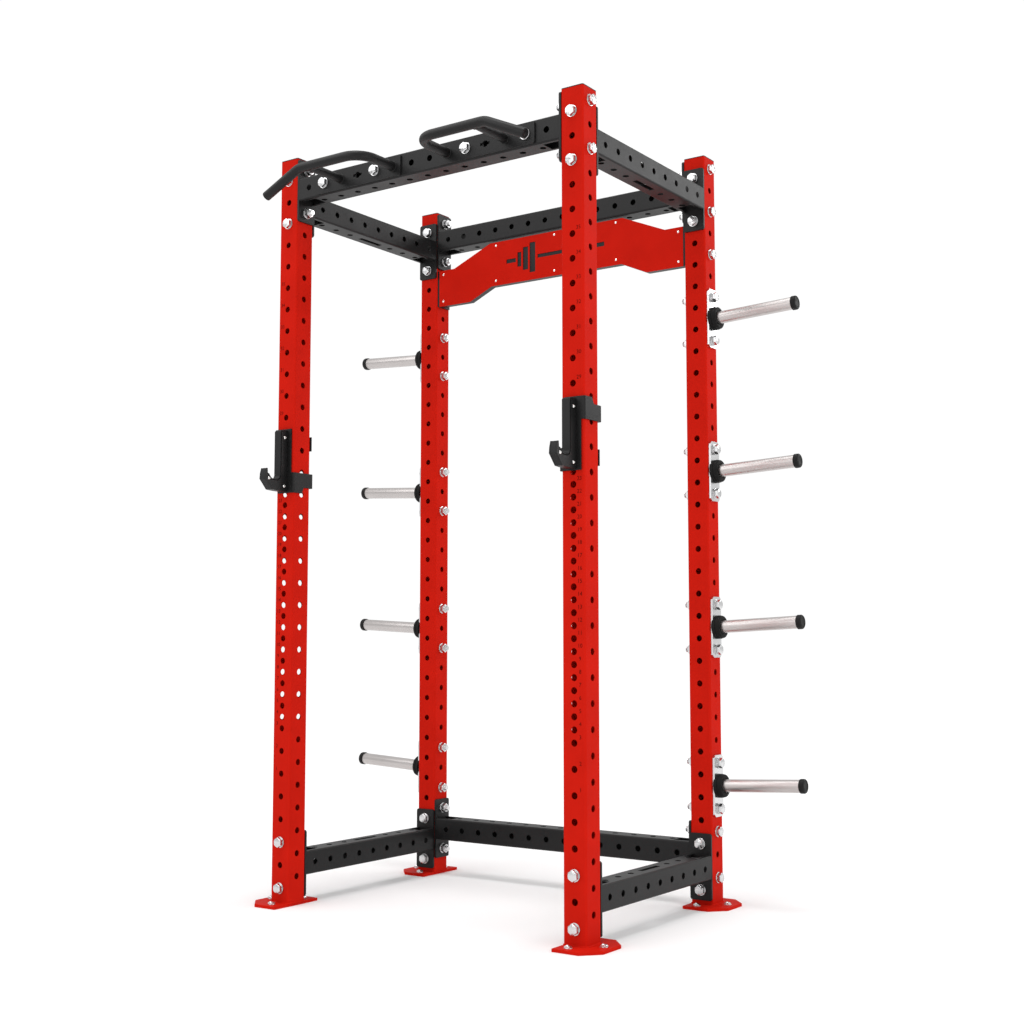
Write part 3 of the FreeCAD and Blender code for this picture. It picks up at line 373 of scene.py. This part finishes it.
def easedCopy(node, radius, steps):
    mesh = cadNodes[node].data.copy()
    work = bmesh.new()
    work.from_mesh(mesh)
    bmesh.ops.remove_doubles(work, verts=work.verts, dist=same)
    flat = math.radians(edges["flatAngle"])
    bmesh.ops.dissolve_limit(work, angle_limit=flat, verts=work.verts, edges=work.edges)
    work.to_mesh(mesh)
    work.free()
    mesh.shade_smooth()
    piece = link(bpy.data.objects.new(node + "_eased", mesh))
    easeEdges(piece, radius, steps)
    dress(piece, node)
    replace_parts(piece, node)


def easeEdges(piece, radius, steps):
    ease = piece.modifiers.new("ease", "BEVEL")
    ease.width = radius
    ease.segments = steps
    ease.limit_method = "ANGLE"
    ease.angle_limit = math.radians(edges["edgeAngle"])
    even = piece.modifiers.new("even", "WEIGHTED_NORMAL")
    even.keep_sharp = True


def easeSheetParts():
    for node in sorted(cadNodes):
        for part, size in edges.items():
            if isinstance(size, tuple) and part in node:
                easedCopy(node, *size)
                break


# hex fasteners: the hexagon's own radius at an angle is half its flats over the cosine from a flat's middle
fasteners = {
    "columns": 48,
    "faceShare": 0.95,      # the round faces of heads and nuts, as a share of the flats
    "faceStep": 0.0005,
    "cornerSlope": 0.55,    # how steeply the corners are chamfered
    "soften": 0.0004,
    "softDrop": 0.3,        # how far a softened edge drops, as a share of its width
    "nutSink": 0.001,
    "tipSlope": 1.3,        # first thread's depth at the tip, as a share of the thread's depth
    "threadPitch": 0.0025,
    "threadDepth": 0.0014,
    "threadRun": 0.013,
    "threadRows": 6,        # per turn
    "shankColumns": 24,
    "ringColumns": 40,
    "ringOver": 0.22,       # a washer's two edge radii, as shares of its thickness
    "ringUnder": 0.10,
}


def hexRadius(flats, columns):
    angle = np.arange(columns) * 2 * math.pi / columns
    return flats / 2 / np.cos((angle + math.pi / 6) % (math.pi / 3) - math.pi / 6)


def hexRows(flats, height, bottom):
    # rows of (radius, height) of a hexagon whose end corners are chamfered, above or below z = 0
    columns = fasteners["columns"]
    hexagon = hexRadius(flats, columns)
    face = np.full(columns, flats / 2 * fasteners["faceShare"])
    drop = np.maximum(hexagon - face, 0) * fasteners["cornerSlope"]
    soft = fasteners["soften"]
    up = 1 if bottom else -1
    level = 0.0 if bottom else height
    rows = [(face, level + 0 * face),
            (hexagon - soft, level + up * (drop - soft * fasteners["softDrop"])),
            (hexagon, level + up * (drop + soft))]
    return rows if bottom else rows[::-1]


def fromRows(rows, wrapRows=False):
    return aroundAxis(np.array([r for r, h in rows]), np.array([h for r, h in rows]), wrapRows)


def hexHead(flats, height):
    # washer face below, hexagon, chamfered corners and a flat top
    columns = fasteners["columns"]
    step, soft = fasteners["faceStep"], fasteners["soften"]
    hexagon = hexRadius(flats, columns)
    face = np.full(columns, flats / 2 * fasteners["faceShare"])
    flat = 0 * face
    rows = [(flat, flat), (face, flat), (face, step + flat), (hexagon - soft, step + flat),
            (hexagon, step + soft + flat)]
    return fromRows(rows + hexRows(flats, height, False) + [(flat, height + flat)])


def threadedShank(radius, length):
    # plain down to the thread, which is a ridge that climbs one pitch a turn
    columns = fasteners["shankColumns"]
    pitch, run = fasteners["threadPitch"], fasteners["threadRun"]
    depth = np.linspace(0, run, int(run / pitch * fasteners["threadRows"]))[:, None]
    angle = np.arange(columns)[None, :] / columns
    wave = np.abs((depth / pitch + angle) % 1.0 - 0.5) * 2
    taper = np.clip((run - depth) / pitch, 0, 1)
    cut = radius - fasteners["threadDepth"] * wave * taper
    tip = np.minimum(cut, radius - fasteners["threadDepth"] * fasteners["tipSlope"] + depth)
    level = -length + depth + 0 * angle
    none = np.zeros((1, columns))
    radii = np.concatenate((none, tip, none + radius, none))
    levels = np.concatenate((level[:1], level, np.zeros((2, columns))))
    return aroundAxis(radii, levels)


def hexNut(flats, height, bore):
    # both ends chamfered, with a countersunk bore; the rows close on themselves
    columns = fasteners["columns"]
    hole = np.full(columns, bore)
    flat, sink = 0 * hole, fasteners["nutSink"]
    rows = [(hole, sink + flat), (hole + sink, flat)] + hexRows(flats, height, True)
    rows += hexRows(flats, height, False) + [(hole + sink, height + flat), (hole, height - sink + flat)]
    return fromRows(rows, True)


def flatRing(outer, inner, thick):
    # a stamped washer: rounded over on one face, sharper on the other
    over, under = thick * fasteners["ringOver"], thick * fasteners["ringUnder"]
    profile = [(inner, under), (inner + under, 0), (outer - under, 0), (outer, under),
               (outer, thick - over), (outer - over * 0.4, thick - over * 0.3), (outer - over, thick),
               (inner + over, thick), (inner, thick - over)]
    return turned(profile, fasteners["ringColumns"], True)


def placeOf(points, direction):
    # where a solid starts along a direction, on the line through its middle
    direction = np.array(direction, float)
    middle = (points.min(0) + points.max(0)) / 2
    reach = points @ direction
    return turnTo(direction), middle + direction * (reach.min() - middle @ direction), np.ptp(reach)


def towardsWidest(points, axis):
    # along an axis, to the end where a solid is widest
    middle = (points.min(0) + points.max(0)) / 2
    away = np.delete(points - middle, axis, 1)
    widest = points[np.hypot(away[:, 0], away[:, 1]).argmax(), axis]
    direction = np.zeros(3)
    direction[axis] = 1.0 if widest > middle[axis] else -1.0
    return direction


def boltPlaces(node, headHeight):
    # a bolt lies along its longest side, with its head at the wide end
    places = []
    for points in solidsOf(node):
        direction = towardsWidest(points, int(np.ptp(points, 0).argmax()))
        turn, start, length = placeOf(points, direction)
        places.append((turn, start + direction * (length - headHeight)))
    return places, length - headHeight


def discPlaces(node):
    # rings and nuts stand along their thinnest side
    places = []
    for points in solidsOf(node):
        size = np.ptp(points, 0)
        direction = np.zeros(3)
        direction[int(size.argmin())] = 1.0
        places.append(placeOf(points, direction)[:2])
    return places, np.sort(size)


hardware = {
    "boltFlats": 0.030, "boltHead": 0.0125, "boltRadius": 0.010,
    "anchorFlats": 0.019, "anchorHead": 0.008, "anchorRadius": 0.006, "anchorColumns": 24,
    "washerBore": 0.0105, "anchorWasherBore": 0.00645, "nutRunning": 0.0001,
}


def swapFor(node, suffix, shape, places, sharp=35.0):
    # one shape at every place, instead of the node
    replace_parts(addPiece(node + suffix, copies(shape, places), node, sharp), node)


def addFasteners():
    head = hardware["boltHead"]
    for node in ("frame_bolts", "peg_bolts", "grip_bolts"):
        places, length = boltPlaces(node, head)
        shape = joined(hexHead(hardware["boltFlats"], head), threadedShank(hardware["boltRadius"], length))
        swapFor(node, "_threaded", shape, places)
    places, length = boltPlaces("anchor_bolts", hardware["anchorHead"])
    radius = hardware["anchorRadius"]
    shank = turned([(0, -length), (radius, -length), (radius, 0), (0, 0)], hardware["anchorColumns"])
    head = hexHead(hardware["anchorFlats"], hardware["anchorHead"])
    swapFor("anchor_bolts", "_headed", joined(head, shank), places)
    places, size = discPlaces("nuts")
    bore = hardware["boltRadius"] + hardware["nutRunning"]
    swapFor("nuts", "_chamfered", hexNut(hardware["boltFlats"], size[0], bore), places)
    for node, bore in (("washers", "washerBore"), ("anchor_washers", "anchorWasherBore")):
        places, size = discPlaces(node)
        swapFor(node, "_stamped", flatRing(size[2] / 2, hardware[bore], size[0]), places)


# dome-headed screws with a hexagon socket
screwShape = {"socketShare": 0.42, "rimShare": 1.35, "socketDepth": 0.45, "columns": 36, "domeRows": 7,
              "sharp": 30.0}


def domeScrew(radius, height):
    # a cap of a ball; the socket's rim blends from the cap to a hexagon, then drops straight in
    columns, share = screwShape["columns"], screwShape["socketShare"]
    ball = (radius ** 2 + height ** 2) / (2 * height)
    socket = hexRadius(2 * radius * share, columns)[None]
    edge = math.asin(radius / ball)
    rim = math.asin(radius * share * screwShape["rimShare"] / ball)
    swing = np.linspace(edge, rim, screwShape["domeRows"])[:, None] * np.ones((1, columns))
    levels = ball * np.cos(swing) - ball + height
    flat = levels[-1:]
    floor = flat * (1 - screwShape["socketDepth"])
    none = np.zeros((1, columns))
    return aroundAxis(np.concatenate((none, ball * np.sin(swing), socket, socket, none)),
                      np.concatenate((none, levels, flat, floor, floor)))


def addScrews():
    for node in ("panel_screws", "cup_screws_left", "cup_screws_right"):
        places = []
        for points in solidsOf(node):
            size = np.ptp(points, 0)
            turn, start, height = placeOf(points, -towardsWidest(points, int(size.argmin())))
            places.append((turn, start))
        swapFor(node, "_socketed", domeScrew(size.max() / 2, height), places, screwShape["sharp"])


# plate pegs: everything on a peg is turned about the peg's own tilted axis
peg = {
    "columns": 72,
    "sleeveRound": 0.0012,
    "collarRound": 0.004, "collarNeck": 0.002, "collarGroove": 0.0016,
    "grooveAt": (0.40, 0.44, 0.50, 0.54),           # shares of the collar's length
    "collarMouth": [(0.006, 0.0), (0.004, 0.0015), (0.0, 0.0025)],      # past the bore, below the face
    "capRound": 0.0062, "capEdge": 0.001,
    "capFace": [(0.68, 0.0), (0.65, 0.0012), (0.58, 0.0012), (0.55, 0.00064), (0.30, 0.0016), (0, 0.0016)],
}


def pegPlaces(node):
    places = []
    for points in solidsOf(node):
        side = "right" if points[:, 0].mean() > 0 else "left"
        direction = np.array(mountAt["plate_peg_%s_1" % side]["axis"], float)
        turn, start, length = placeOf(points, direction / np.linalg.norm(direction))
        places.append((turn, start))
    return places, length, np.ptp(points[:, 1]) / 2


def roundedEnd(radius, level, ease, steps=4):
    # a quarter turn of the profile from the side over to the end face
    swing = np.linspace(0, math.pi / 2, steps)
    return [(radius - ease + ease * math.cos(a), level - ease + ease * math.sin(a)) for a in swing]


def addPegs():
    columns = peg["columns"]
    places, length, bore = pegPlaces("peg_sleeves")
    profile = [(0, 0.0), (bore, 0.0)] + roundedEnd(bore, length, peg["sleeveRound"]) + [(0, length)]
    swapFor("peg_sleeves", "_turned", turned(profile, columns), places)

    places, length, radius = pegPlaces("peg_collars")
    waist = radius - peg["collarGroove"]
    profile = [(bore, 0.0), (radius, 0.0)]
    profile += [(r, length * at) for r, at in zip((radius, waist, waist, radius), peg["grooveAt"])]
    profile += roundedEnd(radius - peg["collarNeck"], length, peg["collarRound"], 6)
    profile += [(bore + out, length - down) for out, down in peg["collarMouth"]]
    swapFor("peg_collars", "_moulded", turned(profile, columns, True), places)

    places, length, radius = pegPlaces("peg_end_caps")
    edge = peg["capEdge"]
    profile = [(0, 0.0), (radius - edge, 0.0), (radius, edge)]
    profile += roundedEnd(radius, length, peg["capRound"], 6)
    profile += [(radius * share, length - down) for share, down in peg["capFace"]]
    swapFor("peg_end_caps", "_moulded", turned(profile, columns), places)


# pull-up grips: a circle carried along a path of straight runs and bends
grip = {
    "droop": 25.0, "bendRadius": 0.068, "bendSteps": 14, "columns": 40,
    "rimRound": 0.0012, "rimDrop": 0.3, "boreDepth": 0.002, "boreRound": 0.0006, "wall": 0.003,
    "bead": (0.0024, 0.0004, 0.0042),       # radius, ripple, step between deposits
    "beadPoints": 60,
}


def bentPath(corners, radius):
    # straight runs, each corner replaced by an arc that touches both of its runs
    corners = [np.array(c, float) for c in corners]
    points = [corners[0]]
    for before, at, after in zip(corners, corners[1:], corners[2:]):
        a = (before - at) / np.linalg.norm(before - at)
        b = (after - at) / np.linalg.norm(after - at)
        half = math.acos(a @ b) / 2
        mid = (a + b) / np.linalg.norm(a + b)
        centre = at + mid * radius / math.sin(half)
        start, finish = at + a * radius / math.tan(half), at + b * radius / math.tan(half)
        sweep = math.pi - 2 * half
        u = (start - centre) / radius
        v = (finish - centre) - u * ((finish - centre) @ u)
        v /= np.linalg.norm(v)
        angle = np.linspace(0, sweep, grip["bendSteps"])[:, None]
        points += list(centre + radius * (np.cos(angle) * u + np.sin(angle) * v))
    points.append(corners[-1])
    return np.array(points)


def carried(path, radius, columns, closed=False):
    # rings across the path; each ring's frame is the last one swung by the bend between them
    ahead = np.roll(path, -1, 0) - path
    if not closed:
        ahead[-1] = path[-1] - path[-2]
    ahead /= np.linalg.norm(ahead, axis=1)[:, None]
    tangent = ahead + np.concatenate((ahead[:1] if not closed else ahead[-1:], ahead[:-1]))
    tangent /= np.linalg.norm(tangent, axis=1)[:, None]
    side = turnTo(tangent[0])[:, 0]
    frames = []
    for t in tangent:
        side = side - t * (side @ t)
        side /= np.linalg.norm(side)
        frames.append((side, np.cross(t, side)))
    frames = np.array(frames)
    angle = (np.arange(columns) * 2 * math.pi / columns)[None, :, None]
    outward = np.cos(angle) * frames[:, None, 0] + np.sin(angle) * frames[:, None, 1]
    return path[:, None, :] + np.asarray(radius)[:, None, None] * outward


def gripCorners(side):
    sign = sides[side]
    low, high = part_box("grip_tube_" + side)
    plateLow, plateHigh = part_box("grip_plate_" + side)
    level = (plateLow.z + plateHigh.z) / 2
    radius = high.z - level
    droop = math.radians(grip["droop"])
    leg = min(abs(low.x), abs(high.x)) + radius
    out = low.y + radius
    endZ = low.z + radius * math.cos(droop)
    endX = max(abs(low.x), abs(high.x)) - radius * math.sin(droop)
    elbow = endX - (level - endZ) / math.tan(droop)
    return [(sign * leg, plateLow.y, level), (sign * leg, out, level), (sign * elbow, out, level),
            (sign * endX, out, endZ)], radius


def addGrip(side):
    # the tube's rings, then the rim and a shallow bore at its open end
    node = "grip_tube_" + side
    corners, radius = gripCorners(side)
    path = bentPath(corners, grip["bendRadius"])
    tip = (path[-1] - path[-2]) / np.linalg.norm(path[-1] - path[-2])
    ease, drop, deep = grip["rimRound"], grip["rimDrop"], grip["boreDepth"]
    inner = radius - grip["wall"]
    rim = [(radius, ease), (radius - ease * drop, ease * drop), (radius - ease, 0.0),
           (inner + grip["boreRound"], 0.0), (inner, ease), (inner, deep), (0.0, deep)]
    line = np.concatenate((path[:1], path[:-1], path[-1] - np.outer([back for r, back in rim], tip)))
    radii = np.array([0.0] + [radius] * (len(path) - 1) + [r for r, back in rim])
    outward = carried(path, np.ones(len(path)), grip["columns"]) - path[:, None, :]
    index = [0] + list(range(len(path) - 1)) + [len(path) - 1] * len(rim)
    rings = line[:, None, :] + outward[index] * radii[:, None, None]
    shape = rings.reshape(-1, 3), gridFaces(len(line), grip["columns"])
    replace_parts(addPiece(node + "_bent", shape, node), node)


weldLook = {"rows": 5, "columns": 10, "sharp": 60.0}      # rows to each deposit


def bead(path, radius, ripple, step):
    # a weld bead round a closed path: its radius swells and sinks with every deposit
    length = np.concatenate(([0], np.cumsum(np.linalg.norm(np.diff(path, axis=0), axis=1))))
    count = int(length[-1] / step) * weldLook["rows"]
    at = np.linspace(0, length[-1], count, endpoint=False)
    line = np.stack([np.interp(at, length, path[:, k]) for k in range(3)], -1)
    swell = radius + ripple * np.abs(np.sin(math.pi * at / length[-1] * round(length[-1] / step)))
    rings = carried(line, swell, weldLook["columns"], True)
    return rings.reshape(-1, 3), gridFaces(count, weldLook["columns"], True)


def addGripWelds(side):
    corners, radius = gripCorners(side)
    angle = np.linspace(0, 2 * math.pi, grip["beadPoints"])
    braceLow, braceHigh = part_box("grip_brace_" + side)
    braceX, braceR = (braceLow.x + braceHigh.x) / 2, (braceHigh.z - braceLow.z) / 2
    level, face, out = corners[0][2], corners[0][1], corners[1][1]
    rings = [(corners[0][0], radius, 0 * angle + face), (braceX, braceR, 0 * angle + face),
             (braceX, braceR, out + np.sqrt(radius ** 2 - (braceR * np.sin(angle)) ** 2))]
    shapes = []
    for x, r, y in rings:
        path = np.stack((x + r * np.cos(angle), y, level + r * np.sin(angle)), -1)
        shapes.append(bead(path, *grip["bead"]))
    addPiece("grip_welds_" + side, joined(*shapes), "grip_plate_" + side, weldLook["sharp"])


foot = {"bead": (0.0030, 0.0004, 0.0045), "corner": 0.006, "cornerSteps": 8}


def squareLoop(x, y, z, half, corner):
    # a level square with rounded corners, from one point back to itself
    angle = np.linspace(0, math.pi / 2, foot["cornerSteps"])
    points = []
    for quarter, (cx, cy) in enumerate([(1, 1), (-1, 1), (-1, -1), (1, -1)]):
        a = angle + quarter * math.pi / 2
        points.append(np.stack((x + cx * (half - corner) + corner * np.cos(a),
                                y + cy * (half - corner) + corner * np.sin(a), z + 0 * a), -1))
    return np.concatenate(points + [points[0][:1]])


def addFootWelds():
    for end in ("front", "rear"):
        for side in sides:
            low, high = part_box("upright_%s_%s" % (end, side))
            middle = (low + high) / 2
            loop = squareLoop(middle.x, middle.y, low.z, (high.x - low.x) / 2, foot["corner"])
            plate = "floor_plate_%s_%s" % (end, side)
            addPiece("foot_weld_%s_%s" % (end, side), bead(loop, *foot["bead"]), plate, weldLook["sharp"])


# J-cup brackets: a flat blank folded round the upright, twice
cup = {
    "sheet": 0.005, "gap": 0.0005, "play": 0.0058,
    "bend": 0.0030, "bendSteps": 5,
    "bandLow": 0.041, "bandHigh": 0.091, "half": 0.111,
    "slopeFront": 0.036, "slopeRear": 0.046,
    "wallFront": 0.018, "wallRear": 0.068,
    "inset": 0.0095, "tongue": 0.002,       # plate's and hooks' free ends, in from the upright's edge
    "plateColumns": 8, "hookColumns": 6,
    "edge": 0.0009, "edgeSteps": 2,
}


def foldedStrip(tube):
    # middle of the sheet as (across, back): front, quarter turn, ear, quarter turn, hook
    mid, bend = cup["sheet"] / 2, cup["bend"]
    edge, tongue = tube / 2 - cup["inset"], tube / 2 - cup["tongue"]
    front, ear, hook = -cup["gap"] - mid, tube / 2 + cup["gap"] + mid, tube + cup["play"] + mid
    a = np.linspace(0, math.pi / 2, cup["bendSteps"])
    plateRow = np.linspace(-edge, edge, cup["plateColumns"])
    hookRow = np.linspace(tongue, -tongue, cup["hookColumns"])
    wall = np.array([cup["wallFront"], cup["slopeFront"], cup["slopeRear"], cup["wallRear"]])
    rise, fall = bend * np.sin(a), bend * np.cos(a)
    across = (plateRow, ear - bend + rise, 0 * wall + ear, ear - bend + fall, hookRow)
    back = (0 * plateRow + front, front + bend - fall, wall, hook - bend + rise, 0 * hookRow + hook)
    return np.concatenate(across), np.concatenate(back)


def sheetGrid(across, back, levels):
    # a grid of rows at the given levels
    grid = np.stack(np.broadcast_arrays(across, back, levels), -1)
    return grid.reshape(-1, 3), gridFaces(*grid.shape[:2], wrapColumns=False)


def addCupBracket(side):
    # the upper band's top edge slopes down behind the front; half a turn makes the lower band
    node = "cup_bracket_" + side
    low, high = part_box("upright_front_" + side)
    across, back = foldedStrip(high.x - low.x)
    top = np.interp(back, (cup["slopeFront"], cup["slopeRear"]), (cup["half"], cup["bandHigh"]))
    levels = np.stack((0 * top + cup["bandLow"], np.minimum(top, cup["bandHigh"]), top))
    upper = sheetGrid(across, back, levels)
    rows = np.array((-cup["bandLow"], 0, cup["bandLow"]))[:, None]
    plate = sheetGrid(across[:cup["plateColumns"]], back[0], rows)
    points, faces = joined(upper, (upper[0] * (-1, 1, -1), upper[1]), plate)
    mesh = bpy.data.meshes.new(node + "_folded")
    mesh.from_pydata(points * (sides[side], 1, 1) + np.array(jointAt["j_cup_%s_twist" % side]), [], faces)
    weld(mesh, True)
    mesh.shade_smooth()
    piece = link(bpy.data.objects.new(node + "_folded", mesh))
    wall = piece.modifiers.new("sheet", "SOLIDIFY")
    wall.thickness = cup["sheet"]
    wall.offset = 0.0
    wall.use_even_offset = True
    easeEdges(piece, cup["edge"], cup["edgeSteps"])
    dress(piece, node)
    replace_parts(piece, node)


# row numbers beside the front uprights' holes
numbers = {
    "size": 0.01725, "curve": 2, "thick": 0.00012,
    "outward": 0.285, "above": 0.22,        # from the hole's middle, in pitches
    "pegSpan": 21,                          # pitches between the top and bottom pegs
    "cupRow": 14, "wideRows": [28, 27, 26], "fineSteps": 24, "lastRow": 6,
}


def numberedRows():
    # rows counted down from the top in pitches: whole pitches, then halves, then whole ones again
    rows = list(numbers["wideRows"])
    rows += [rows[-1] - 0.5 * step for step in range(1, numbers["fineSteps"] + 1)]
    return rows + [rows[-1] - step for step in range(1, int(rows[-1]) - numbers["lastRow"] + 1)]


def textMesh(words):
    data = bpy.data.curves.new("digits", "FONT")
    data.body = words
    data.align_x = "CENTER"
    data.align_y = "CENTER"
    data.size = numbers["size"]
    data.resolution_u = numbers["curve"]
    data.extrude = numbers["thick"] / 2
    text = link(bpy.data.objects.new("digits", data))
    bpy.context.view_layer.update()
    shaped = text.evaluated_get(bpy.context.evaluated_depsgraph_get())
    mesh = bpy.data.meshes.new_from_object(shaped)
    bpy.data.objects.remove(text)
    return mesh


def addRowNumbers():
    top, bottom = [mountAt["plate_peg_left_%d" % peg]["pos_m"][2] for peg in (1, 4)]
    pitch = (top - bottom) / numbers["pegSpan"]
    for side, sign in sides.items():
        node = "upright_front_" + side
        low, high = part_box(node)
        pinLevel = jointAt["j_cup_%s_twist" % side][2]
        x = (low.x + high.x) / 2 + sign * numbers["outward"] * pitch
        work = bmesh.new()
        for count, row in enumerate(numberedRows(), 1):
            digits = textMesh(str(count))
            z = pinLevel + (numbers["cupRow"] - row + numbers["above"]) * pitch
            points = np.empty(len(digits.vertices) * 3)
            digits.vertices.foreach_get("co", points)
            across, up, out = points.reshape(-1, 3).T
            placed = np.stack((x + across, low.y - out - numbers["thick"] / 2, z + up), -1)
            digits.vertices.foreach_set("co", placed.ravel())
            work.from_mesh(digits)
            bpy.data.meshes.remove(digits)
        mesh = bpy.data.meshes.new("row_numbers_" + side)
        work.to_mesh(mesh)
        work.free()
        weld(mesh)
        dress(link(bpy.data.objects.new("row_numbers_" + side, mesh)), node, "row_ink")


addCamera()
addWorld()
addFloor()
addCeiling()
for lampName, (lampPlace, lampSize, lampPower) in studio["lamps"].items():
    addLamp(lampName, lampPlace, lampSize, lampPower)
addLamp("softbox", *studio["softbox"]).visible_diffuse = False
print("studio ready")
easeSheetParts()
print("sheet and tube parts eased")
addFasteners()
addScrews()
print("fasteners made")
addPegs()
print("plate pegs turned")
for sideName in sides:
    addGrip(sideName)
    addGripWelds(sideName)
    addCupBracket(sideName)
addFootWelds()
print("grips, hooks and welds made")
addRowNumbers()
print("rows numbered")
for nodeName, cadNode in cadNodes.items():
    cadNode.data.materials.clear()
    cadNode.data.materials.append(finishFor(slotOf[nodeName]))
